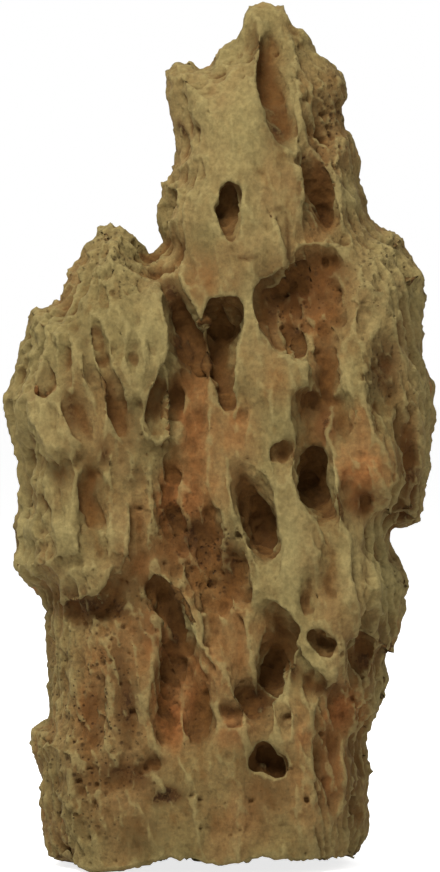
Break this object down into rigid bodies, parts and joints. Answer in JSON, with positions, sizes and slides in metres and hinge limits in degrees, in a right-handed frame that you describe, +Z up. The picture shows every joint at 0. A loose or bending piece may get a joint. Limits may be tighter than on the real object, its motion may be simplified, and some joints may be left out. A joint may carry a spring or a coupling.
{
  "type": "dragon stone",
  "caption": "Upright natural dragon stone with a narrow tower, a side shoulder and deep water-worn pits and flutes, standing on a flat foot.",
  "frame": {"origin": "under the middle of the stone, on the surface that it stands on", "axes": "+Z up along the stone's height, the worn display face looks along -Y, +X to the right of somebody facing it"},
  "size_m": [0.126, 0.084, 0.25],
  "materials": {
    "stone": "dry, matte, water-worn clay stone: olive tan crests, rust-brown hollows"
  },
  "bodies": {
    "root": {"stone": "stone"}
  },
  "joints": []
}
